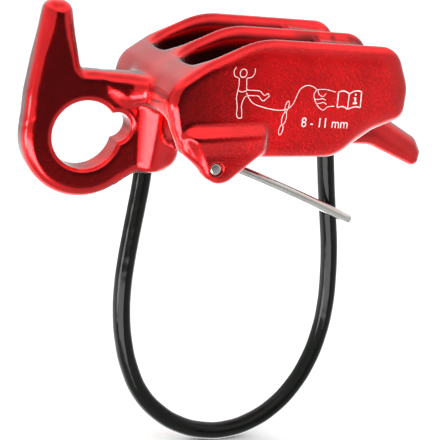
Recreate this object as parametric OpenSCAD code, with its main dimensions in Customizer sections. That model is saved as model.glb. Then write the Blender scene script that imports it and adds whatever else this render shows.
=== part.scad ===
// Two-slot belay and rappel device with a carabiner eye, a thumb horn,
// a pivoting wire arm and a sheathed keeper cable.
// The origin is the centre of the carabiner eye. X runs along the rope slots
// towards the tail, Y is the eye's axis and Z is up. All sizes are in mm.

/* [Carabiner eye and horn] */
// Radius of the carabiner eye
eye_r = 8; // [7:0.1:8.5]
// Thickness of the plate round the eye
plate_t = 7; // [6:0.5:8]
// Outer radius of the ring round the eye
ring_r = 14.8; // [14:0.1:15.5]
// Height of the horn's top above the eye's centre
horn_top = 30; // [28:0.5:32]

/* [Rope slots] */
// Length of each rope slot
slot_len = 37; // [34:0.5:38]
// Width of each rope slot
slot_w = 12.5; // [12:0.1:12.6]
// Height of the fins' crests above the eye's centre
crest_z = 27; // [26:0.5:28]
// Thickness of the middle fin and of each outer fin
fin_t = 4; // [3.5:0.1:4.5]

/* [Wire arm] */
// Radius of the arm's steel wire
wire_r = 1.18; // [1:0.02:1.25]
// Radial clearance between the wire and its bore in the ear
wire_gap = 0.06; // [0.02:0.01:0.1]
// Distance of the arm's straight part from the middle plane
arm_y = 3.8; // [3.6:0.1:5]

/* [Keeper cable] */
// Outer radius of the cable's sheath
sheath_r = 2.2; // [2:0.05:2.2]
// Radius of the steel strand inside the sheath
strand_r = 1.25; // [1:0.05:1.4]

/* [Hidden] */
$fn = 64;

// Places across the width
slot_y = fin_t / 2 + slot_w / 2;
fin_in = fin_t / 2 + slot_w;
fin_out = fin_in + fin_t;
ear_out = fin_out + 1.5;

// Places along the slots
slot_x0 = 20;
slot_x1 = slot_x0 + slot_len;
tail_x = 92.6;
under_z = -0.5;
web_z = -8.6;

// Wire arm: the pivot's axis, its peened head, and the arm's bends and tip
pivot = [25.6, -2.9];
head_r = 1.42;
head_t = 0.5;
recess_r = 1.65;
recess_t = 0.9;
elbow_r = 2.4;
first_dip = 16.5;
knee_at = 13;
arm_tip = [73.4, -20.2];

// Keeper cable: bores, ferrules and the route of its centre line
boss_r = 4.3;
bore_r = 2.25;
bore_depth = 10;
ferrule_len = 6.5;
front_x = 16.3;
rear_x = 64.8;
rear_lean = 12;
sheath_gap = 0.05;
sides = 12;
route = [
    [16.3, 0, -8.6], [16.2, 0, -13], [15.8, 0, -18.5], [15.3, 0, -25], [14.9, 0, -31.5],
    [14.8, 0, -38], [15.3, 0, -45], [16.7, 0, -52.5], [19.2, 0, -60], [23, 0, -67],
    [28.4, 0, -72.7], [35, 0, -76.9], [42, 0, -79.1], [49, 0, -79.4], [56, 0, -77.5],
    [62.3, 0, -73.5], [67.2, 0, -67.8], [70.6, 0, -60.8], [72.5, 0, -53], [73, 0, -45],
    [72.4, 0, -37], [71.1, 0, -28.5], [69.4, 0, -21], [67.5, 0, -13], [65.97, 0, -6],
    [64.8, 0, -0.5]
];

// Round every corner [x, y, r] of a polygon by its own radius
function unit(v) = v / norm(v);
function flat(p) = [p[0], p[1]];
function turn(u, v) = acos(max(-1, min(1, u * v)));
function arc_dir(a, b, s) = unit(a * (1 - s) + b * s);
function corner(a, c, b, r, steps) =
    let (
        u = unit(a - c),
        v = unit(b - c),
        half = turn(u, v) / 2,
        mid = c + unit(u + v) * r / sin(half),
        from = unit(c + u * r / tan(half) - mid),
        to = unit(c + v * r / tan(half) - mid)
    )
    [for (i = [0:steps]) mid + r * arc_dir(from, to, i / steps)];
function rounded(pts, steps = 6) =
    let (n = len(pts))
    [for (i = [0:n - 1])
        each (pts[i][2] == 0
            ? [flat(pts[i])]
            : corner(flat(pts[(i + n - 1) % n]), flat(pts[i]), flat(pts[(i + 1) % n]),
                     pts[i][2], steps))];

// Extrude an X-Z outline from y0 to y1
module side_plate(pts, y0, y1) {
    translate([0, y1, 0])
        rotate([90, 0, 0])
            linear_extrude(y1 - y0)
                polygon(rounded(pts));
}

// Extrude an X-Y outline from z0 to z1
module plan_plate(pts, z0, z1) {
    translate([0, 0, z0])
        linear_extrude(z1 - z0)
            polygon(rounded(pts));
}

// Cylinder along Y between y0 and y1
module rod_y(x, z, r, y0, y1) {
    translate([x, y1, z])
        rotate([90, 0, 0])
            cylinder(r = r, h = y1 - y0);
}

// Cylinder up from a cable bore's mouth, leaning towards -X
module up_bore(x, z, lean, r, from, to) {
    translate([x, 0, z])
        rotate([0, -lean, 0])
            translate([0, 0, from])
                cylinder(r = r, h = to - from);
}

// Side outlines
horn_pts = [[-14.6, 2, 0], [-14.5, 9, 20], [-11.9, horn_top, 2.6], [-5.9, horn_top, 2.9],
            [-2.4, 14.5, 2.8], [3, 14.5, 0], [3, 2, 0]];
neck_pts = [[0, 14.5, 0], [19, 14.5, 0], [24.3, 9, 0], [24.3, web_z, 4.5], [13.9, web_z, 1.5],
            [8.3, -12.3, 0]];
fin_pts = [[15.4, 2, 2], [13.2, 12, 3], [14.8, 15.6, 2], [20.8, 20.6, 6], [33.8, crest_z, 8],
           [70.2, crest_z, 6.5], [74.9, 16.5, 6], [73.9, 10.4, 1.4], [67.3, 6.8, 7],
           [58.8, 0, 9], [38, under_z, 0], [22, under_z, 0]];
ear_pts = [[16.2, 6, 1.5], [17.2, 0.4, 3], [27.6, -7.4, 4.5], [37.9, 1.8, 1.5], [36.4, 7.6, 1.5],
           [18.4, 6.6, 0.5]];
rib_pts = [[17.6, 6.7, 1], [18.9, 3.6, 0.8], [37.6, 4.6, 0.8], [36.4, 7.8, 1]];
land_pts = [[slot_x1, 0.3, 0], [58.8, 0, 0], [67.3, 6.8, 7], [73.2, 10, 0.6], [74, 16.5, 5],
            [69.6, 24.6, 6], [slot_x1, 25.2, 0]];
tail_pts = [[58.4, 12, 0], [72.5, 10.6, 0], [83.5, 5, 4], [tail_x - 1.4, 1.1, 2.6],
            [tail_x + 0.2, -2.2, 1.5], [tail_x - 1.8, -6.2, 2], [76, under_z, 10],
            [58.4, under_z, 0]];
shoulder_pts = [[4, 3.4, 0], [9, 4.6, 4], [12.4, 9, 5], [13.7, fin_out - 2.5, 2],
                [15.5, fin_out, 1.5], [slot_x0, fin_out, 0], [slot_x0, -fin_out, 0],
                [15.5, -fin_out, 1.5], [13.7, -fin_out + 2.5, 2], [12.4, -9, 5],
                [9, -4.6, 4], [4, -3.4, 0]];
ramp_pts = [[0, 7, 0], [0, 14.5, 0], [13.6, 14.5, 4], [20.8, 20.6, 0], [24, 22.2, 0],
            [24, 6.5, 0]];

// Ring, horn and neck in one plate
module ring_plate() {
    side_plate(horn_pts, -plate_t / 2, plate_t / 2);
    side_plate(neck_pts, -plate_t / 2, plate_t / 2);
    rod_y(0, 0, ring_r, -plate_t / 2, plate_t / 2);
}

// Shoulder that widens from the plate to the outer fins
module shoulder() {
    intersection() {
        plan_plate(shoulder_pts, 0, 30);
        side_plate(ramp_pts, -fin_out - 1, fin_out + 1);
    }
}

// Three fins, the ears under the outer two and the ribs above the ears
module fins() {
    side_plate(fin_pts, -fin_out, -fin_in);
    side_plate(fin_pts, fin_in, fin_out);
    side_plate(fin_pts, -fin_t / 2, fin_t / 2);
    for (side = [0, 1])
        mirror([0, side, 0]) {
            side_plate(ear_pts, -ear_out, -fin_in);
            side_plate(rib_pts, -ear_out - 0.7, -fin_out);
        }
}

// V grooves at the slots' ends, where the braked rope is pinched
module brake_grooves() {
    for (side = [-1, 1])
        plan_plate([[slot_x1 - 1, side * slot_y - 4.5, 0], [slot_x1 + 5, side * slot_y - 0.8, 0],
                    [slot_x1 + 5, side * slot_y + 0.8, 0], [slot_x1 - 1, side * slot_y + 4.5, 0]],
                   -2, crest_z);
}

// Eye with a chamfer on both rims, and the small notch beside it
module eye_cut() {
    rim = 1;
    half = plate_t / 2;
    rod_y(0, 0, eye_r, -half - 1, half + 1);
    rod_y(7.3, 2, 3.5, -half - 1, half + 1);
    for (side = [0, 1])
        mirror([0, side, 0])
            translate([0, half + 0.01, 0])
                rotate([90, 0, 0])
                    cylinder(r1 = eye_r + rim, r2 = eye_r, h = rim);
}

// Stepped bore for the wire's pivot, and the bores for both ends of the cable
module fitted_bores() {
    rod_y(pivot[0], pivot[1], wire_r + wire_gap, -ear_out - 1, -fin_in + 1);
    rod_y(pivot[0], pivot[1], recess_r, -ear_out - 1, -ear_out + recess_t);
    up_bore(front_x, web_z, 0, bore_r, -1, bore_depth);
    up_bore(rear_x, under_z, rear_lean, bore_r, -1, bore_depth);
}

module forged_body() {
    color([0.78, 0.06, 0.1])
        difference() {
            union() {
                ring_plate();
                up_bore(front_x, web_z, 0, boss_r, 0, 16);
                shoulder();
                fins();
                side_plate(land_pts, -fin_in - 0.5, fin_in + 0.5);
                side_plate(tail_pts, -4.2, 4.2);
            }
            eye_cut();
            brake_grooves();
            fitted_bores();
        }
}

// Rings of a swept bar: the sides start square to ref, a direction that the route avoids
function tangent(pts, i) = unit(pts[min(i + 1, len(pts) - 1)] - pts[max(i - 1, 0)]);
function ring_at(pts, i, r, ref) =
    let (t = tangent(pts, i), u = unit(cross(t, ref)), v = cross(u, t))
    [for (k = [0:sides - 1])
        let (a = 360 * (k + 0.5) / sides)
        pts[i] + r * (u * cos(a) + v * sin(a))];
function wall(base, rings, flip) =
    [for (i = [0:rings - 2], k = [0:sides - 1])
        let (
            n = (k + 1) % sides,
            a = base + i * sides + k,
            b = base + i * sides + n,
            c = b + sides,
            d = a + sides
        )
        flip ? [d, c, b, a] : [a, b, c, d]];
function rim(outer, inner, flip) =
    [for (k = [0:sides - 1])
        let (n = (k + 1) % sides)
        flip ? [outer + k, inner + k, inner + n, outer + n]
             : [outer + n, inner + n, inner + k, outer + k]];
function disc(base, flip) =
    [[for (k = [0:sides - 1]) base + (flip ? sides - 1 - k : k)]];

// Hollow tube of outer radius ro and inner radius ri along a route
module tube(pts, ro, ri, ref) {
    rings = len(pts);
    count = rings * sides;
    last = (rings - 1) * sides;
    polyhedron(
        points = concat([for (i = [0:rings - 1]) each ring_at(pts, i, ro, ref)],
                        [for (i = [0:rings - 1]) each ring_at(pts, i, ri, ref)]),
        faces = concat(wall(0, rings, false), wall(count, rings, true),
                       rim(0, count, true), rim(last, count + last, false)),
        convexity = 6
    );
}

// Solid bar along a route, with one radius for each of its points
module swept_bar(pts, radii, ref) {
    rings = len(pts);
    polyhedron(
        points = [for (i = [0:rings - 1]) each ring_at(pts, i, radii[i], ref)],
        faces = concat(wall(0, rings, false), disc(0, true),
                       disc((rings - 1) * sides, false)),
        convexity = 6
    );
}

// One bent wire: peened head, pivot in the ear, elbow, and the arm with a slight knee
module wire_arm() {
    head_y = -ear_out + recess_t - head_t;
    elbow_y = -arm_y - elbow_r;
    axis = [pivot[0], 0, pivot[1]];
    dip = [cos(first_dip), 0, -sin(first_dip)];
    knee = axis + [0, -arm_y, 0] + knee_at * dip;
    tip = [arm_tip[0], -arm_y, arm_tip[1]];
    out = unit(tip - knee);
    bend = [for (a = [0:15:90])
        axis + [0, elbow_y + elbow_r * sin(a), 0] + elbow_r * (1 - cos(a)) * dip];
    pts = concat([axis + [0, elbow_y - 1.5, 0]], bend, [knee, tip - 0.8 * out, tip]);
    bar_r = 0.99 * wire_r;
    radii = [for (i = [0:len(pts) - 1]) i == len(pts) - 1 ? 0.55 * wire_r : bar_r];
    color([0.8, 0.81, 0.82]) {
        rod_y(pivot[0], pivot[1], head_r, head_y, head_y + head_t);
        rod_y(pivot[0], pivot[1], wire_r, head_y + head_t / 2, elbow_y - 0.5);
        swept_bar(pts, radii, [0, 0, 1]);
    }
}

// Points on the bores' axes, a distance inside each mouth
function front_in(s) = [front_x, 0, web_z + s];
function rear_in(s) = [rear_x - s * sin(rear_lean), 0, under_z + s * cos(rear_lean)];
seat = bore_depth - ferrule_len;

module cable_sheath() {
    color([0.05, 0.05, 0.055])
        tube(concat([front_in(seat)], route, [rear_in(seat)]), sheath_r,
             strand_r + sheath_gap, [0, 1, 0]);
}

module cable_strand() {
    pts = concat([front_in(bore_depth - 1)], [front_in(seat)], route,
                 [rear_in(seat)], [rear_in(bore_depth - 1)]);
    color([0.6, 0.61, 0.63])
        swept_bar(pts, [for (p = pts) strand_r], [0, 1, 0]);
}

// Crimped sleeve on a bare end of the strand, pressed into its bore
module ferrule(x, z, lean) {
    color([0.55, 0.56, 0.58])
        difference() {
            up_bore(x, z, lean, bore_r, seat, bore_depth);
            up_bore(x, z, lean, strand_r, seat - 1, bore_depth - 1);
        }
}
module front_ferrule() {
    ferrule(front_x, web_z, 0);
}
module rear_ferrule() {
    ferrule(rear_x, under_z, rear_lean);
}

forged_body();
wire_arm();
cable_sheath();
cable_strand();
front_ferrule();
rear_ferrule();
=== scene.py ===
"""Two-slot belay and rappel device: red forged body, steel wire arm and a black keeper cable.

Sizes and places are in millimetres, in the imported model's frame, and MM turns them into metres
for the scene. The forged body is one smooth distance field, which is meshed once. The camera,
the floor and the materials are in metres.
"""
import math

import bpy
import numpy as np
from mathutils import Matrix, Vector


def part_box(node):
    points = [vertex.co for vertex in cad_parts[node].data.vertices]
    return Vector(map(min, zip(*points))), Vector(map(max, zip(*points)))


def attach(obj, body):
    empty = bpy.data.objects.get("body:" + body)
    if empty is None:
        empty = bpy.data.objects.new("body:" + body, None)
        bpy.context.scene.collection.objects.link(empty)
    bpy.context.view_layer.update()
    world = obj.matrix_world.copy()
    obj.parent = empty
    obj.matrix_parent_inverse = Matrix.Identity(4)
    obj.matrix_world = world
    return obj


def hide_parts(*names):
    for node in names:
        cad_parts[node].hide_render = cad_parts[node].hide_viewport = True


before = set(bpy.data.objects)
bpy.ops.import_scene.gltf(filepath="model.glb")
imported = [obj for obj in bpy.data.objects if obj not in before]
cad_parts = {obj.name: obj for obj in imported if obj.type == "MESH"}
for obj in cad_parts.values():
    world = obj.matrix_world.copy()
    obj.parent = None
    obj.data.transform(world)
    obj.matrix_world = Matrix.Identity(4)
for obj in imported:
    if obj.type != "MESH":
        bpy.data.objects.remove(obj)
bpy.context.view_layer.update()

MM = 0.001
F = np.float32

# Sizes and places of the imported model, in mm
EYE_R = 8.0
NOTCH_X, NOTCH_Z, NOTCH_R = 7.3, 2, 3.5
RING_R = 14.8
PLATE_HALF = 3.5
BOSS_X, BOSS_R, BOSS_FOOT, BOSS_TOP = 16.8, 4.2, -8.6, 8.4
SLOT_Y = 8.25
SIDE_Y = 18.5
EAR_Y, EAR_HALF = 16.5, 2.5
PIVOT_X, PIVOT_Z = 25.6, -2.9
PIN_BORE_R, RECESS_R, RECESS_FLOOR_Y = 1.24, 1.65, -19.1
SHEATH_R = 2.2
CABLE_BORE_R, CABLE_BORE_DEPTH = 2.25, 10
FRONT_X, FRONT_BORE_TOP = 16.3, 1.4
REAR_X, REAR_Z = 64.8, -0.5
REAR_LEAN = math.radians(12)
SEAT = 3.5
WIRE_R, WIRE_Y, ELBOW_R = 1.18, -3.8, 2.4


# ---------------------------------------------------------------- small helpers


def link(obj):
    bpy.context.scene.collection.objects.link(obj)
    return obj


def mesh_object(name, verts, faces, smooth=True):
    mesh = bpy.data.meshes.new(name)
    mesh.from_pydata([tuple(v) for v in verts], [], [tuple(f) for f in faces])
    mesh.polygons.foreach_set("use_smooth", [smooth] * len(mesh.polygons))
    mesh.update()
    return link(bpy.data.objects.new(name, mesh))


def new_material(name):
    material = bpy.data.materials.new(name)
    material.use_nodes = True
    tree = material.node_tree
    return material, tree, tree.nodes["Principled BSDF"]


def node(tree, kind, **values):
    made = tree.nodes.new(kind)
    for key, value in values.items():
        if key in made.inputs:
            made.inputs[key].default_value = value
        else:
            setattr(made, key, value)
    return made


def place_in(tree):
    """Place in the object's own space, in metres."""
    return tree.nodes.new("ShaderNodeTexCoord").outputs["Object"]


def painted(tree, name):
    """Value of a vertex attribute."""
    made = tree.nodes.new("ShaderNodeAttribute")
    made.attribute_name = name
    return made.outputs["Fac"]


def noise(tree, coords, scale, detail=2.0, roughness=0.5):
    made = node(tree, "ShaderNodeTexNoise", Scale=scale, Detail=detail, Roughness=roughness)
    tree.links.new(coords, made.inputs["Vector"])
    return made.outputs["Fac"]


def remap(tree, value, lo, hi, out_lo, out_hi):
    made = tree.nodes.new("ShaderNodeMapRange")
    for key, number in zip(("From Min", "From Max", "To Min", "To Max"),
                           (lo, hi, out_lo, out_hi)):
        made.inputs[key].default_value = number
    tree.links.new(value, made.inputs["Value"])
    return made.outputs["Result"]


def math_node(tree, operation, a, b):
    made = tree.nodes.new("ShaderNodeMath")
    made.operation = operation
    for socket, value in zip(made.inputs, (a, b)):
        if isinstance(value, (int, float)):
            socket.default_value = value
        else:
            tree.links.new(value, socket)
    return made.outputs[0]


def mix_colours(tree, factor, a, b):
    made = tree.nodes.new("ShaderNodeMix")
    made.data_type = "RGBA"
    tree.links.new(factor, made.inputs["Factor"])
    made.inputs["A"].default_value = (*a, 1)
    made.inputs["B"].default_value = (*b, 1)
    return made.outputs["Result"]


def bump(tree, height, strength, distance, before=None):
    made = tree.nodes.new("ShaderNodeBump")
    made.inputs["Distance"].default_value = distance
    tree.links.new(height, made.inputs["Height"])
    if isinstance(strength, (int, float)):
        made.inputs["Strength"].default_value = strength
    else:
        tree.links.new(strength, made.inputs["Strength"])
    if before is not None:
        tree.links.new(before, made.inputs["Normal"])
    return made.outputs["Normal"]


# ---------------------------------------------------------------- camera, light and floor


def make_camera():
    """A long lens in front, to the left and a little above."""
    data = bpy.data.cameras.new("camera")
    data.sensor_width = 36
    data.lens = 106.36
    data.clip_start = 0.02
    data.clip_end = 30
    right = Vector((0.8974, -0.4199, 0.1357)).normalized()
    back = Vector((-0.4412, -0.8509, 0.2851)).normalized()
    up = back.cross(right).normalized()
    place = Vector((-0.10316, -0.27329, 0.07017))
    camera = link(bpy.data.objects.new("camera", data))
    camera.matrix_world = Matrix([(right[i], up[i], back[i], place[i]) for i in range(3)]
                                 + [(0, 0, 0, 1)])
    bpy.context.scene.camera = camera


def lobe(tree, direction, axis, inner, outer, tall=1.0):
    """1 within inner degrees of axis, fading to 0 at outer degrees. Below 1, tall stretches it
    up and down."""
    scale = tree.nodes.new("ShaderNodeVectorMath")
    scale.operation = "MULTIPLY"
    tree.links.new(direction, scale.inputs[0])
    scale.inputs[1].default_value = (1, 1, tall)
    even = tree.nodes.new("ShaderNodeVectorMath")
    even.operation = "NORMALIZE"
    tree.links.new(scale.outputs[0], even.inputs[0])
    dot = tree.nodes.new("ShaderNodeVectorMath")
    dot.operation = "DOT_PRODUCT"
    tree.links.new(even.outputs[0], dot.inputs[0])
    dot.inputs[1].default_value = Vector((axis[0], axis[1], axis[2] * tall)).normalized()
    made = tree.nodes.new("ShaderNodeMapRange")
    made.interpolation_type = "SMOOTHSTEP"
    made.inputs["From Min"].default_value = math.cos(math.radians(outer))
    made.inputs["From Max"].default_value = math.cos(math.radians(inner))
    tree.links.new(dot.outputs["Value"], made.inputs["Value"])
    return made.outputs["Result"]


def dimmed(tree, light, patch, amount):
    """Light less amount of itself inside a patch."""
    kept = math_node(tree, "SUBTRACT", 1.0, math_node(tree, "MULTIPLY", patch, amount))
    return math_node(tree, "MULTIPLY", light, kept)


def brightened(tree, light, patch, amount):
    return math_node(tree, "ADD", light, math_node(tree, "MULTIPLY", patch, amount))


def make_world():
    """A white tent that lights the object and shows in its reflections: dark in front, dimmer in
    one patch behind, and bright overhead and low down behind. A low table in front and a small
    window on the left are far brighter. The camera sees plain white."""
    world = bpy.data.worlds.new("tent")
    bpy.context.scene.world = world
    world.use_nodes = True
    tree = world.node_tree
    tree.nodes.clear()
    direction = tree.nodes.new("ShaderNodeTexCoord").outputs["Generated"]
    split = tree.nodes.new("ShaderNodeSeparateXYZ")
    tree.links.new(direction, split.inputs[0])
    y, z = split.outputs["Y"], split.outputs["Z"]
    light = math_node(tree, "ADD", remap(tree, y, -0.2, 0.4, 0.75, 1.05),
                      remap(tree, z, 0.35, 0.6, 0, 0.8))
    under = math_node(tree, "MULTIPLY", remap(tree, z, -0.2, -0.45, 0, 1),
                      remap(tree, y, -0.1, 0.2, 0, 1))
    light = brightened(tree, light, under, 1.8)
    light = math_node(tree, "MULTIPLY", light, remap(tree, z, 0.75, 0.95, 1, 0.6))
    light = dimmed(tree, light, lobe(tree, direction, (0.17, -0.98, 0), 18, 29), 0.93)
    light = dimmed(tree, light, lobe(tree, direction, (-0.22, 0.94, -0.3), 10, 24), 0.6)
    table = lobe(tree, direction, (-0.5, -0.86, 0), 32, 40, 0.5)
    for none_at, full_at in ((-0.3, -0.34), (-0.66, -0.58)):
        table = math_node(tree, "MULTIPLY", table, remap(tree, z, none_at, full_at, 0, 1))
    light = brightened(tree, light, table, 9.0)
    window = lobe(tree, direction, (-0.95, -0.24, -0.36), 8, 14)
    light = brightened(tree, light, window, 16.0)
    strength = tree.nodes.new("ShaderNodeMix")
    tree.links.new(tree.nodes.new("ShaderNodeLightPath").outputs["Is Camera Ray"],
                   strength.inputs[0])
    tree.links.new(light, strength.inputs[2])
    strength.inputs[3].default_value = 1.0
    background = tree.nodes.new("ShaderNodeBackground")
    background.inputs["Color"].default_value = (1, 1, 1, 1)
    tree.links.new(strength.outputs[0], background.inputs["Strength"])
    output = tree.nodes.new("ShaderNodeOutputWorld")
    tree.links.new(background.outputs[0], output.inputs["Surface"])


def make_floor(half=4, gap=0.0002):
    """A white table just under the cable's lowest point, which shows in no reflection."""
    material, tree, shader = new_material("floor_white")
    coords = place_in(tree)
    tone = noise(tree, coords, 6.0)
    tree.links.new(mix_colours(tree, tone, (0.95, 0.95, 0.95), (0.97, 0.97, 0.97)),
                   shader.inputs["Base Color"])
    shader.inputs["Roughness"].default_value = 0.9
    shader.inputs["Specular IOR Level"].default_value = 0.1
    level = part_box("cable_sheath")[0][2] - gap
    corners = [(-half, -half, level), (half, -half, level), (half, half, level),
               (-half, half, level)]
    floor = mesh_object("floor", corners, [(0, 1, 2, 3)], smooth=False)
    floor.data.materials.append(material)
    floor.visible_glossy = False
    floor.visible_shadow = False


# ---------------------------------------------------------------- keeper cable

ROUTE = [(FRONT_X, BOSS_FOOT), (16.2, -13), (15.8, -18.5), (15.3, -25), (14.9, -31.5), (14.8, -38),
         (15.3, -45), (16.7, -52.5), (19.2, -60), (23, -67), (28.4, -72.7), (35, -76.9),
         (42, -79.1), (49, -79.4), (56, -77.5), (62.3, -73.5), (67.2, -67.8), (70.6, -60.8),
         (72.5, -53), (73, -45), (72.4, -37), (71.1, -28.5), (69.4, -21), (67.5, -13),
         (65.97, -6), (REAR_X, REAR_Z)]


def black_plastic():
    material, tree, shader = new_material("black_sheath")
    coords = place_in(tree)
    tone = noise(tree, coords, 90.0, 3)
    tree.links.new(mix_colours(tree, tone, (0.002, 0.0024, 0.002), (0.006, 0.007, 0.006)),
                   shader.inputs["Base Color"])
    scuff = noise(tree, coords, 700.0, 4, 0.6)
    tree.links.new(remap(tree, scuff, 0.3, 0.75, 0.07, 0.15), shader.inputs["Roughness"])
    wave = bump(tree, noise(tree, coords, 210.0, 1), 0.35, 0.0004)
    fine = bump(tree, noise(tree, coords, 2600.0, 2), 0.05, 0.0001, wave)
    tree.links.new(fine, shader.inputs["Normal"])
    shader.inputs["Specular IOR Level"].default_value = 0.13
    return material


def make_cable():
    """The sheathed cable as one smooth curve, pushed SEAT into both bores."""
    last = (ROUTE[-1][0] - SEAT * math.sin(REAR_LEAN), ROUTE[-1][1] + SEAT * math.cos(REAR_LEAN))
    points = [(ROUTE[0][0], ROUTE[0][1] + SEAT), *ROUTE, last]
    data = bpy.data.curves.new("keeper_cable", "CURVE")
    data.dimensions = "3D"
    data.bevel_depth = SHEATH_R * MM
    data.bevel_resolution = 10
    data.resolution_u = 10
    data.use_fill_caps = True
    spline = data.splines.new("BEZIER")
    spline.bezier_points.add(len(points) - 1)
    for spot, (x, z) in zip(spline.bezier_points, points):
        spot.co = (x * MM, 0, z * MM)
        spot.handle_left_type = spot.handle_right_type = "AUTO"
    cable = link(bpy.data.objects.new("keeper_cable", data))
    data.materials.append(black_plastic())
    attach(cable, "device")
    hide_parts("cable_sheath", "cable_strand")


# ---------------------------------------------------------------- distance fields


def unit(v):
    return v / np.linalg.norm(v)


def outline(corners):
    """Signed distance to a closed outline whose corners [a, b, r] are round: fn(a, b)."""
    sharp = np.array([c[:2] for c in corners], float)
    count = len(corners)
    ends, arcs = [], []
    after = np.roll(sharp, -1, axis=0)
    turning = float((sharp[:, 0] * after[:, 1] - after[:, 0] * sharp[:, 1]).sum())
    for i, (_, _, r) in enumerate(corners):
        c = sharp[i]
        if r == 0:
            ends.append((c, c))
            continue
        u = unit(sharp[i - 1] - c)
        v = unit(sharp[(i + 1) % count] - c)
        half = math.acos(max(-1, min(1, float(u @ v)))) / 2
        centre = c + unit(u + v) * r / math.sin(half)
        start, stop = c + u * r / math.tan(half), c + v * r / math.tan(half)
        f, t = unit(start - centre), unit(stop - centre)
        m = unit(f + t)
        bulges = ((u[0] * v[1] - u[1] * v[0]) < 0) == (turning > 0)
        arcs.append((centre, r, f, t, m, float(m @ f), bulges))
        ends.append((start, stop))
    lines = [(ends[i][1], ends[(i + 1) % count][0]) for i in range(count)]

    def distance(a, b):
        shape = np.broadcast(a, b).shape
        near = np.full(shape, 1e6, F)
        inside = np.zeros(shape, bool)
        for p, q in lines:
            ex, ey = q - p
            wx, wy = a - F(p[0]), b - F(p[1])
            t = np.clip((wx * F(ex) + wy * F(ey)) / F(max(ex * ex + ey * ey, 1e-9)), 0, 1)
            near = np.minimum(near, (wx - F(ex) * t) ** 2 + (wy - F(ey) * t) ** 2)
        for (x0, y0), (x1, y1) in zip(sharp, np.roll(sharp, -1, axis=0)):
            if y0 == y1:
                continue
            between = (b >= min(y0, y1)) & (b < max(y0, y1))
            cross = F(x0) + (b - F(y0)) * F((x1 - x0) / (y1 - y0))
            inside ^= between & (a < cross)
        for centre, r, f, t, m, wide, bulges in arcs:
            wx, wy = a - F(centre[0]), b - F(centre[1])
            far = np.sqrt(wx * wx + wy * wy)
            wedge = wx * F(m[0]) + wy * F(m[1]) >= far * F(wide)
            near = np.where(wedge, np.minimum(near, (far - F(r)) ** 2), near)
            corner = wedge & (far > r)
            corner &= (wx * F(f[0]) + wy * F(f[1]) < r) & (wx * F(t[0]) + wy * F(t[1]) < r)
            inside = inside & ~corner if bulges else inside | corner
        near = np.sqrt(near)
        return np.where(inside, -near, near)

    return distance


def join(a, b, k):
    """Smooth union over about k mm."""
    h = np.maximum(F(k) - np.abs(a - b), 0) / F(k)
    return np.minimum(a, b) - h * h * F(k / 4)


def both(a, b, k):
    """Smooth intersection."""
    return -join(-a, -b, k)


def cut(a, b, k):
    """Smooth a minus b."""
    return both(a, -b, k)


def slab(flat, across, half, r, wide=None):
    """Outline flat, extruded to half each way. Its edges are rounded by r, or reach wide inwards."""
    wide = r if wide is None else wide
    u, v = flat / wide + 1, (across - half) / r + 1
    outside = np.sqrt(np.maximum(u, 0) ** 2 + np.maximum(v, 0) ** 2)
    return (outside + np.minimum(np.maximum(u, v), 0) - 1) * r


def step(value, lo, hi):
    """0 below lo, 1 above hi and smooth between."""
    t = np.clip((value - F(lo)) / F(hi - lo), 0, 1)
    return t * t * (3 - 2 * t)


def rod(a, b, r):
    """Endless round bar."""
    return np.sqrt(a * a + b * b) - F(r)


# Outlines in X and Z, as seen from the near side. A corner is (x, z, its rounding radius).
HORN = outline([(-14.6, 2, 0), (-14.5, 9, 20), (-11.9, 30, 2.6), (-5.9, 30, 2.9),
                (-2.4, 14.5, 2.8), (3, 14.5, 0), (3, 2, 0)])
NECK = outline([(0, 14.5, 0), (19, 14.5, 0), (24.3, 9, 0), (24.3, -8.6, 4.5), (13.9, -8.6, 1.5),
                (8.3, -12.3, 0)])
FIN = outline([(15.6, 2, 8), (13.2, 11, 4), (14.0, 15.6, 6), (20.8, 20.6, 10), (33.8, 27, 20),
               (70.2, 27, 6.8), (74.9, 17.5, 9), (75.0, 9.8, 3), (67.6, 6.2, 8), (58.8, 0, 12),
               (38, -0.5, 0), (22, -0.5, 0)])
SHOULDER = outline([(1, 14.5, 0), (13.4, 14.5, 1), (19, 18.6, 0), (19, 8, 0), (12.4, 7.8, 4),
                    (8.6, 6.7, 1), (3, 9, 0)])
EAR = outline([(16.4, 4, 1.5), (17.2, 0.4, 3), (27.6, -7.4, 4.5), (37.9, 1.8, 1.5),
               (36.8, 6.4, 1.5), (18.0, 5.4, 0.5)])
PAD = outline([(17.8, 11, 0), (17.8, 4.4, 1.5), (21.4, -1.2, 3), (23, -4.9, 3), (27.6, -7.2, 4.3),
               (37.4, 1.4, 1.5), (37.4, 11, 0)])

# How far a pad stands proud of the outer side (BY) at each height (AT)
RAISED_AT = (-9, 0.6, 2.2, 3.6, 4.1, 4.8, 5.3, 6.4, 7.0, 7.4, 9)
RAISED_BY = (1.5, 1.48, 1.64, 1.86, 1.88, 1.74, 1.48, 0.62, 0.16, -0.1, -1.6)

# The land that closes the slots on the right, the tail, and the block that closes the upper part
# of the slots on the left
LAND = outline([(57, -4, 0), (67.3, -4, 0), (80, 8, 0), (74, 16.5, 5), (69.6, 24.6, 6),
                (57, 25.2, 0)])
TAIL = outline([(58.4, 12, 0), (72.5, 10.6, 0), (83.5, 5, 4), (91.2, 1.1, 2.6),
                (92.8, -2.2, 1.5), (90.8, -6.2, 2), (76, -0.5, 10), (58.4, -0.5, 0)])
LEFT_END = outline([(-20, 7.6, 0), (-20, 40, 0), (20, 40, 0), (20, 7.6, 1)])


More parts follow.
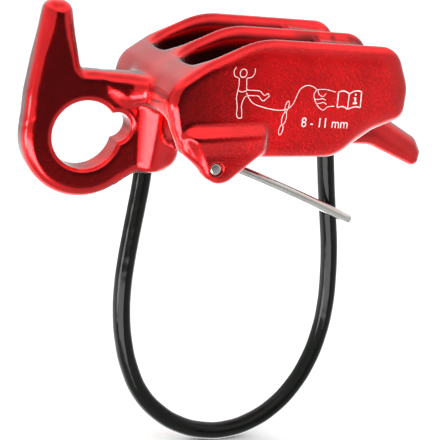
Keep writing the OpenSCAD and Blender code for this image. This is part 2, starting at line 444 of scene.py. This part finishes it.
def eye_plate(x, y, z):
    """Plate with the ring, the horn and the neck, and the upright boss of the cable's front end."""
    ay = np.abs(y)
    ring = join(rod(x, z, RING_R), HORN(x, z), 0.5)
    edge = 2.4 + 0.9 * np.maximum(step(x, 15, 19), step(z, 16, 24))
    plate = slab(join(ring, NECK(x, z), 0.5), ay, PLATE_HALF, edge)
    rise = z - BOSS_FOOT
    boss = rod(x - BOSS_X - 0.03 * rise, y, 0) - (BOSS_R + 0.09 * rise)
    boss = both(boss, -rise, 1.6)
    boss = both(boss, z - BOSS_TOP, 1)
    return join(plate, boss, 1.2)


def shoulders(x, y, z):
    """Hollow fillets between the plate and the outer fins."""
    ay = np.abs(y)
    thick = np.maximum(8.3 + 1.0 * step(x, 1, 9) - ay, 0)
    left = np.maximum(x - 8.2, 0)
    fillet = both(5.0 - np.sqrt(thick * thick + left * left), SHOULDER(x, z), 3.2)
    return both(fillet, ay - 17.5, 3)


def slotted_fins(x, y, z):
    """Three fins with the two rope slots between them. The outer edges are widely rounded."""
    ay = np.abs(y)
    wide = 2.0 + 3.2 * step(x, 18, 38) * np.maximum(step(z, 2, 14), step(x, 52, 64))
    deep = 2.0 + 2.6 * step(x, 54, 64) * step(-z, -13, -6)
    block = slab(FIN(x, z), ay, SIDE_Y, deep, np.maximum(wide, deep))
    lane = np.abs(ay - SLOT_Y) - (6.2 + 0.25 * (z - 10) / 17)
    lane = both(lane, -LEFT_END(x, z), 6.0)
    return cut(block, both(lane, -LAND(x, z), 2.0), 2.2)


def ears(x, y, z):
    return slab(EAR(x, z), np.abs(np.abs(y) - EAR_Y), EAR_HALF, 1.3)


def pads(x, y, z):
    """Pad on each outer side above the ear, proudest along a rib that rises slightly to the
    right."""
    ay = np.abs(y)
    proud = np.interp(z - 0.07 * (x - 27), RAISED_AT, RAISED_BY)
    return both(slab(PAD(x, z), ay, SIDE_Y + proud, 1.2, 1.8), 15 - ay, 0.3)


def tail(x, y, z):
    """Bent-down tail, narrower towards its upper side."""
    upper = np.maximum(0.48 * (x - 79) + 0.876 * (z - 2.2), 0)
    return slab(TAIL(x, z), np.abs(y), 4.6 - 0.5 * upper, 2.4)


def brake_grooves(x, y):
    """Groove in the land at the right end of each slot, narrower to the right."""
    groove = np.abs(np.abs(y) - SLOT_Y) - (4.5 - (x - 56) * 3.7 / 6)
    return both(both(groove * F(0.85), 55 - x, 0.5), x - 62, 0.5)


def rear_cable_bore(x, y, z):
    """Bore that leans towards the eye as it goes up."""
    c, s = math.cos(REAR_LEAN), math.sin(REAR_LEAN)
    along = -(x - REAR_X) * F(s) + (z - REAR_Z) * F(c)
    aside = (x - REAR_X) * F(c) + (z - REAR_Z) * F(s)
    return both(rod(aside, y, CABLE_BORE_R), along - CABLE_BORE_DEPTH, 0.2)


def pin_bore(x, y, z):
    """Bore of the wire's pin through the near ear, with the recess of its head."""
    hole = rod(x - PIVOT_X, z - PIVOT_Z, PIN_BORE_R)
    hole = both(both(hole, -22 - y, 0.1), y + 13.5, 0.1)
    recess = both(rod(x - PIVOT_X, z - PIVOT_Z, RECESS_R), y - RECESS_FLOOR_Y, 0.1)
    return np.minimum(hole, recess)


def device_field(x, y, z):
    """Signed distance to the forged body, in mm."""
    d = join(eye_plate(x, y, z), shoulders(x, y, z), 0.6)
    fins = join(slotted_fins(x, y, z), ears(x, y, z), 1.2)
    fins = join(fins, pads(x, y, z), 1.0)
    d = join(d, fins, 1.2)
    d = join(d, tail(x, y, z), 4.0)
    d = cut(d, brake_grooves(x, y), 0.7)
    eye = np.minimum(rod(x, z, EYE_R), rod(x - NOTCH_X, z - NOTCH_Z, NOTCH_R))
    d = cut(d, eye, 1.3)
    front_bore = both(rod(x - FRONT_X, y, CABLE_BORE_R), z - FRONT_BORE_TOP, 0.2)
    d = cut(d, front_bore, 0.3)
    d = cut(d, rear_cable_bore(x, y, z), 0.3)
    return cut(d, pin_bore(x, y, z), 0.25)


def graded(lo, hi, pitch, fine_lo, fine_hi, fine):
    """Coordinates from lo to hi, closer together between fine_lo and fine_hi."""
    return np.concatenate([np.arange(lo, fine_lo, pitch), np.arange(fine_lo, fine_hi, fine),
                           np.arange(fine_hi, hi + pitch, pitch)]).astype(F)


def surface_net(field, xs, ys, zs):
    """Quads of the field's zero surface: one vertex in each cell that the surface crosses."""
    values = field(xs[:, None, None], ys[None, :, None], zs[None, None, :])
    values = np.ascontiguousarray(np.broadcast_to(values, (len(xs), len(ys), len(zs))), F)
    inside = values < 0
    corners = [(i, j, k) for i in (0, 1) for j in (0, 1) for k in (0, 1)]
    cells = tuple(n - 1 for n in values.shape)
    total = np.zeros(cells, np.uint8)
    for i, j, k in corners:
        total += inside[i:i + cells[0], j:j + cells[1], k:k + cells[2]]
    at = np.nonzero((total > 0) & (total < 8))
    number = np.full(cells, -1, np.int32)
    number[at] = np.arange(len(at[0]))
    sums, hits = np.zeros((len(at[0]), 3)), np.zeros(len(at[0]))
    axes = (xs, ys, zs)
    for first in corners:
        for axis in range(3):
            if first[axis]:
                continue
            second = tuple(1 if n == axis else first[n] for n in range(3))
            a = values[tuple(at[n] + first[n] for n in range(3))]
            b = values[tuple(at[n] + second[n] for n in range(3))]
            crossed = (a < 0) != (b < 0)
            t = np.where(crossed, a / np.where(crossed, a - b, 1), 0)
            for n in range(3):
                p = axes[n][at[n] + first[n]]
                q = axes[n][at[n] + second[n]]
                sums[:, n] += np.where(crossed, p + t * (q - p), 0)
            hits += crossed
    verts = sums / hits[:, None]
    quads = []
    for axis in range(3):
        u, v = (axis + 1) % 3, (axis + 2) % 3
        low = [slice(None)] * 3
        high = [slice(None)] * 3
        low[axis], high[axis] = slice(0, -1), slice(1, None)
        for other in (u, v):
            low[other] = high[other] = slice(1, -1)
        a, b = inside[tuple(low)], inside[tuple(high)]
        for flip, mask in ((False, a & ~b), (True, ~a & b)):
            spots = list(np.nonzero(mask))
            spots[u], spots[v] = spots[u] + 1, spots[v] + 1
            ring = []
            for du, dv in ((-1, -1), (0, -1), (0, 0), (-1, 0)):
                spot = list(spots)
                spot[u], spot[v] = spot[u] + du, spot[v] + dv
                ring.append(number[tuple(spot)])
            quads.append(np.stack(ring[::-1] if flip else ring, axis=1))
    return verts, np.concatenate(quads)


def slopes(field, p, reach=0.02):
    """Gradient of the field at the points p."""
    out = []
    for n in range(3):
        shift = np.zeros(3)
        shift[n] = reach
        a, b = p + shift, p - shift
        out.append((field(*a.T) - field(*b.T)) / (2 * reach))
    return np.stack(out, axis=1)


def settle(field, verts, rounds=2):
    """Moves the vertices onto the field's zero surface."""
    for _ in range(rounds):
        g = slopes(field, verts)
        size = np.maximum((g * g).sum(axis=1), 0.05)
        value = field(*verts.T)
        move = -g * (value / size)[:, None]
        far = np.linalg.norm(move, axis=1)
        verts = verts + move * np.minimum(1, 0.3 / np.maximum(far, 1e-6))[:, None]
    return verts


def red_anodised():
    """Dyed aluminium: smooth, but grainy on the blasted faces, with painted shade that darkens the
    colour down in the slots.
    """
    material, tree, shader = new_material("red_anodised")
    coords = place_in(tree)
    blasted = painted(tree, "blasted")
    grain = noise(tree, coords, 1700.0, 3, 0.65)
    tone = noise(tree, coords, 70.0, 4, 0.6)
    deep = mix_colours(tree, remap(tree, tone, 0.35, 0.65, 0, 1),
                       (0.56, 0.005, 0.007), (0.78, 0.008, 0.011))
    # Painted shade: mixes the colour towards a dark red inside the slots and at their right ends.
    slot_shade_mix = tree.nodes.new("ShaderNodeMix")
    slot_shade_mix.data_type = "RGBA"
    tree.links.new(painted(tree, "painted_slot_shade"), slot_shade_mix.inputs["Factor"])
    tree.links.new(deep, slot_shade_mix.inputs["A"])
    slot_shade_mix.inputs["B"].default_value = (0.16, 0.0015, 0.002, 1)
    tree.links.new(slot_shade_mix.outputs["Result"], shader.inputs["Base Color"])
    smooth = remap(tree, grain, 0.3, 0.7, 0.15, 0.21)
    extra = math_node(tree, "MULTIPLY", blasted, 0.2)
    tree.links.new(math_node(tree, "ADD", smooth, extra), shader.inputs["Roughness"])
    skin = bump(tree, noise(tree, coords, 620.0, 2), 0.12, 0.0002)
    amount = remap(tree, blasted, 0, 1, 0.05, 1)
    rough = bump(tree, grain, amount, 0.00024, skin)
    tree.links.new(rough, shader.inputs["Normal"])
    shader.inputs["Metallic"].default_value = 1
    shader.inputs["Specular Tint"].default_value = (0.15, 0.15, 0.15, 1)
    shader.inputs["Coat Weight"].default_value = 0.7
    shader.inputs["Coat Roughness"].default_value = 0.12
    shader.inputs["Coat IOR"].default_value = 1.4
    shader.inputs["Sheen Weight"].default_value = 0.8
    shader.inputs["Sheen Roughness"].default_value = 0.3
    return material


def blasted_share(x, ay, ny):
    """1 on the flat outer sides, 0 on slopes, edges and the plate."""
    return step(ny, 0.5, 0.85) * step(ay, 17.4, 18.2) * step(x, 14, 42)


def painted_slot_shade_share(x, ay, z, nz):
    """Painted shade: how far the colour is darkened inside the slots, and on the steps at their
    right ends.
    """
    depth = -FIN(x, z)
    inside = 0.7 * step(depth, 0.9, 3.0) * step(18 - ay, 0, 1) * step(x, 17, 21)
    # Painted shade on the steps at the slots' right ends stands in for the shade of the hollows
    # there.
    ends = step(x, 48, 55) * step(-x, -58.5, -56.5) + step(x, 60.2, 61.2) * step(-x, -62.6, -61.6)
    ends = (ends + step(x, 65, 66.5) * step(-x, -72, -69)) * step(12 - ay, 0, 1)
    ends = 0.85 * ends * step(depth, 0.2, 1.2)
    return np.maximum(inside, ends * (1 - step(nz, 0.5, 0.9)))


def make_body(pitch=0.46, fine=0.2):
    """The body as one mesh, finer round the pin's recess."""
    xs = graded(-17, 95, pitch, 23.3, 28.1, fine)
    ys = graded(-22.5, 22.5, pitch, -20.6, -17.6, fine)
    zs = graded(-17, 33, pitch, -5.2, -0.6, fine)
    verts, quads = surface_net(device_field, xs, ys, zs)
    verts = settle(device_field, verts)
    body = mesh_object("anodised_body", verts * MM, quads.tolist())
    normals = slopes(device_field, verts)
    x, ay, z = verts[:, 0], np.abs(verts[:, 1]), verts[:, 2]
    # The blasted share sets roughness and grain; the slot share is painted shade.
    shares = {"blasted": blasted_share(x, ay, np.abs(normals[:, 1])),
              "painted_slot_shade": painted_slot_shade_share(x, ay, z, normals[:, 2])}
    for name, values in shares.items():
        attribute = body.data.attributes.new(name, "FLOAT", "POINT")
        attribute.data.foreach_set("value", values.astype(F))
    body.data.materials.append(red_anodised())
    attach(body, "device")
    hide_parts("forged_body")


# ---------------------------------------------------------------- printed marks

PRINT_Y = -SIDE_Y - 0.03


def white_print():
    material, tree, shader = new_material("white_print")
    coords = place_in(tree)
    worn = noise(tree, coords, 1500.0, 3, 0.6)
    tree.links.new(mix_colours(tree, remap(tree, worn, 0.3, 0.6, 0, 1),
                               (0.66, 0.34, 0.34), (0.8, 0.68, 0.67)),
                   shader.inputs["Base Color"])
    tree.links.new(remap(tree, worn, 0.3, 0.7, 0.45, 0.65), shader.inputs["Roughness"])
    shader.inputs["Specular IOR Level"].default_value = 0.3
    return material


def smooth_line(points, steps=6):
    """Points on a smooth curve through the given ones."""
    pts = [np.array(p, float) for p in points]
    pts = [2 * pts[0] - pts[1], *pts, 2 * pts[-1] - pts[-2]]
    out = []
    for a, b, c, d in zip(pts, pts[1:], pts[2:], pts[3:]):
        for t in np.linspace(0, 1, steps, endpoint=False):
            out.append(0.5 * (2 * b + (c - a) * t + (2 * a - 5 * b + 4 * c - d) * t * t
                              + (3 * b - a - 3 * c + d) * t ** 3))
    return [*out, pts[-2]]


def circle(x, z, rx, rz, lean=0.0, count=20):
    """Closed oval, leaning clockwise by lean degrees."""
    c, s = math.cos(math.radians(lean)), math.sin(math.radians(lean))
    turns = [math.tau * k / count for k in range(count + 1)]
    ovals = [(rx * math.cos(t), rz * math.sin(t)) for t in turns]
    return [(x + u * c + v * s, z - u * s + v * c) for u, v in ovals]


def ribbon(points, width, verts, faces):
    """Adds a flat band along points on the printed face."""
    pts = np.array(points, float)
    along = np.gradient(pts, axis=0)
    base = len(verts)
    for (x, z), (dx, dz) in zip(pts, along):
        length = max(math.hypot(dx, dz), 1e-6)
        ox, oz = -dz / length * width / 2, dx / length * width / 2
        verts += [(x + ox, PRINT_Y, z + oz), (x - ox, PRINT_Y, z - oz)]
    for i in range(len(pts) - 1):
        k = base + 2 * i
        faces.append((k, k + 1, k + 3, k + 2))


def make_pictures():
    """Generic line pictures of a climber, rope, device, hand and booklet."""
    figure = [circle(29.6, 19.3, 0.85, 0.95),
              smooth_line([(28.7, 18.1), (27.5, 18.6), (27.2, 19.7), (27.6, 20.6)]),
              smooth_line([(30.6, 18.2), (31.8, 18.5), (32.4, 19.4), (32.4, 20.5)]),
              smooth_line([(28.7, 18.1), (28.9, 16.6), (28.8, 15.4), (28.7, 13.6), (29.2, 11.6),
                           (29.3, 9.8), (29.9, 9.0), (30.7, 9.1)]),
              smooth_line([(30.6, 18.2), (30.8, 16.6), (31.1, 15.6), (32.8, 15.5), (34.4, 15.4),
                           (35.6, 14.5), (36.5, 14.9), (36.9, 14.3)]),
              smooth_line([(30.7, 9.1), (30.5, 10.6), (30.2, 12.0), (30.6, 13.6), (31.3, 14.2),
                           (32.9, 14.3), (34.2, 14.2), (35.5, 13.2), (36.9, 14.3)]),
              [(28.8, 15.3), (29.9, 15.0), (31.1, 15.4)]]
    rope = [smooth_line([(31.0, 14.9), (31.9, 13.6), (33.2, 12.5), (35.4, 11.8), (38.2, 11.3),
                         (40.6, 11.2), (42.2, 11.6), (43.4, 12.8), (44.0, 14.6), (44.7, 16.3),
                         (46.2, 17.2), (47.9, 17.0), (49.4, 16.1)])]
    device = [circle(41.9, 12.1, 0.45, 1.3, 8), circle(41.6, 9.3, 0.55, 1.5, 6),
              circle(41.2, 6.6, 0.5, 1.2, 6)]
    hand = [smooth_line([(54.2, 16.0), (52.6, 16.3), (50.8, 16.5), (49.0, 16.2), (48.5, 15.0),
                         (49.1, 13.6), (50.2, 12.3), (51.6, 11.6), (52.6, 12.4), (54.4, 12.6)]),
            smooth_line([(49.4, 16.1), (49.9, 15.2), (51.0, 14.8), (51.6, 15.5)]),
            smooth_line([(48.9, 14.1), (50.0, 14.1), (50.9, 14.3), (51.8, 14.0)]),
            smooth_line([(49.6, 13.0), (50.5, 13.2), (51.3, 13.4), (52.2, 13.0)])]
    book = [smooth_line([(54.9, 16.0), (55.9, 16.3), (56.9, 16.2), (57.9, 15.7)]),
            smooth_line([(57.9, 15.7), (59.0, 16.3), (60.2, 16.5), (61.2, 16.3)]),
            smooth_line([(55.2, 12.3), (56.2, 12.6), (57.2, 12.5), (58.1, 12.0)]),
            smooth_line([(58.1, 12.0), (59.3, 12.5), (60.5, 12.7), (61.5, 12.5)]),
            [(54.9, 16.0), (55.2, 12.3)], [(57.9, 15.7), (58.1, 12.0)],
            [(61.2, 16.3), (61.5, 12.5)]]
    letter = [[(59.5, 15.55), (59.9, 15.6)], [(59.35, 14.75), (59.75, 14.8), (59.85, 13.6)],
              [(59.3, 13.45), (60.4, 13.6)]]
    verts, faces = [], []
    for lines, width in ((figure, 0.16), (rope, 0.17), (device, 0.17), (hand, 0.16),
                         (book, 0.27), (letter, 0.42)):
        for line in lines:
            ribbon(line, width, verts, faces)
    return mesh_object("printed_pictures", [tuple(MM * c for c in v) for v in verts], faces,
                       smooth=False)


def make_rope_sizes(left=46.4, foot=7.4, width=12.5, stretch=1.08, lean=0.07):
    """The rope sizes as flat letters on the near side, a little taller than the font and
    leaning slightly back."""
    data = bpy.data.curves.new("rope_sizes", "FONT")
    data.body = "8 - 11 mm"
    data.size = 1
    text = link(bpy.data.objects.new("rope_sizes", data))
    bpy.context.view_layer.update()
    mesh = bpy.data.meshes.new_from_object(text)
    bpy.data.objects.remove(text)
    co = np.array([v.co for v in mesh.vertices])
    low, high = co.min(axis=0), co.max(axis=0)
    flat = (co - low) * (width / (high[0] - low[0]))
    spots = np.stack([left + flat[:, 0] - lean * flat[:, 1], np.full(len(co), PRINT_Y),
                      foot + flat[:, 1] * stretch], axis=1) * MM
    mesh.vertices.foreach_set("co", spots.astype(F).ravel())
    mesh.update()
    return link(bpy.data.objects.new("rope_sizes", mesh))


def make_marks():
    ink = white_print()
    for piece in (make_pictures(), make_rope_sizes()):
        piece.data.materials.clear()
        piece.data.materials.append(ink)
        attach(piece, "device")


# ---------------------------------------------------------------- wire arm


def bright_steel():
    material, tree, shader = new_material("steel_wire")
    coords = place_in(tree)
    tone = noise(tree, coords, 400.0, 4, 0.6)
    tree.links.new(mix_colours(tree, tone, (0.46, 0.45, 0.43), (0.68, 0.67, 0.64)),
                   shader.inputs["Base Color"])
    tree.links.new(remap(tree, tone, 0.3, 0.7, 0.14, 0.3), shader.inputs["Roughness"])
    tree.links.new(bump(tree, noise(tree, coords, 2500.0, 2), 0.1, 0.0001),
                   shader.inputs["Normal"])
    shader.inputs["Metallic"].default_value = 1
    return material


def sweep(points, radii, sides=32):
    """Vertices and faces of a round bar along points, closed at both ends."""
    pts = np.array(points, float)
    tangents = np.gradient(pts, axis=0)
    side = np.array((0.0, 0.0, 1.0))
    verts, faces = [], []
    for p, t, r in zip(pts, tangents, radii):
        t = unit(t)
        side = unit(side - t * (side @ t))
        other = np.cross(t, side)
        for k in range(sides):
            a = math.tau * k / sides
            verts.append(p + r * (side * math.cos(a) + other * math.sin(a)))
    for i in range(len(pts) - 1):
        for k in range(sides):
            n = (k + 1) % sides
            faces.append((i * sides + k, i * sides + n, (i + 1) * sides + n, (i + 1) * sides + k))
    faces.append(tuple(range(sides))[::-1])
    faces.append(tuple((len(pts) - 1) * sides + k for k in range(sides)))
    return verts, faces


# Peened head of the wire: places along the pivot's axis, with the radius at each
HEAD = ((-19.62, 0.9), (-19.6, 1.2), (-19.45, 1.38), (-19.2, 1.42), (-19.1, 1.36),
        (-19.05, WIRE_R))
ARM_DIP = math.radians(16.5)
# The knee's place along the arm, and how far its bend reaches to each side
KNEE_AT, KNEE_REACH = 13, 1.5
ARM_TIP = (73.4, WIRE_Y, -20.2)
ARM_BOW = 0.35
# The rounded tip's length, and how much thinner the wire is at its end
TIP_LEN, TIP_DROP = 0.5, 0.45


def make_wire():
    """One wire: peened head in its recess, pin through the ear, elbow, arm and rounded tip."""
    down = np.array((math.cos(ARM_DIP), 0, -math.sin(ARM_DIP)))
    axis = np.array((PIVOT_X, 0, PIVOT_Z))
    turn = WIRE_Y - ELBOW_R
    points = [axis + (0, y, 0) for y, _ in HEAD]
    points += [axis + (0, y, 0) for y in np.linspace(-18.8, turn - 0.6, 12)]
    for a in np.linspace(0, math.pi / 2, 13):
        points.append(axis + (0, turn + ELBOW_R * math.sin(a), 0)
                      + ELBOW_R * (1 - math.cos(a)) * down)
    knee = axis + (0, WIRE_Y, 0) + KNEE_AT * down
    tip = np.array(ARM_TIP)
    out = unit(tip - knee)
    before, after = knee - KNEE_REACH * down, knee + KNEE_REACH * out
    for t in np.linspace(0, 1, 6)[1:-1]:
        points.append(points[-1] * (1 - t) + before * t)
    for t in np.linspace(0, 1, 7):
        points.append((1 - t) ** 2 * before + 2 * t * (1 - t) * knee + t * t * after)
    start, end = points[-1], tip - TIP_LEN * out
    for t in np.linspace(0, 1, 16)[1:]:
        bow = np.array((0, 0, ARM_BOW * math.sin(math.pi * t)))
        points.append(start * (1 - t) + end * t + bow)
    radii = [r for _, r in HEAD]
    radii += [WIRE_R] * (len(points) - len(radii))
    for a in map(math.radians, (25, 50, 70, 85)):
        points.append(end + TIP_LEN * math.sin(a) * out)
        radii.append(WIRE_R - TIP_DROP * (1 - math.cos(a)))
    verts, faces = sweep([p * MM for p in points], [q * MM for q in radii])
    wire = mesh_object("bent_wire", verts, faces)
    wire.data.materials.append(bright_steel())
    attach(wire, "arm")
    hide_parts("wire_arm")


def finish_sleeves():
    """Crimped sleeves inside the bores keep their CAD shape and get a drawn-metal look."""
    material, tree, shader = new_material("crimp_sleeve")
    coords = place_in(tree)
    tone = noise(tree, coords, 900.0, 3)
    tree.links.new(mix_colours(tree, tone, (0.4, 0.4, 0.41), (0.6, 0.6, 0.6)),
                   shader.inputs["Base Color"])
    tree.links.new(remap(tree, tone, 0.3, 0.7, 0.3, 0.5), shader.inputs["Roughness"])
    shader.inputs["Metallic"].default_value = 1
    for name in ("front_ferrule", "rear_ferrule"):
        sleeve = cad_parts[name]
        sleeve.data.materials.clear()
        sleeve.data.materials.append(material)


# ---------------------------------------------------------------- the whole scene

make_camera()
make_cable()
make_world()
make_floor()
make_body()
make_marks()
make_wire()
finish_sleeves()

bpy.context.scene.view_settings.view_transform = "Standard"
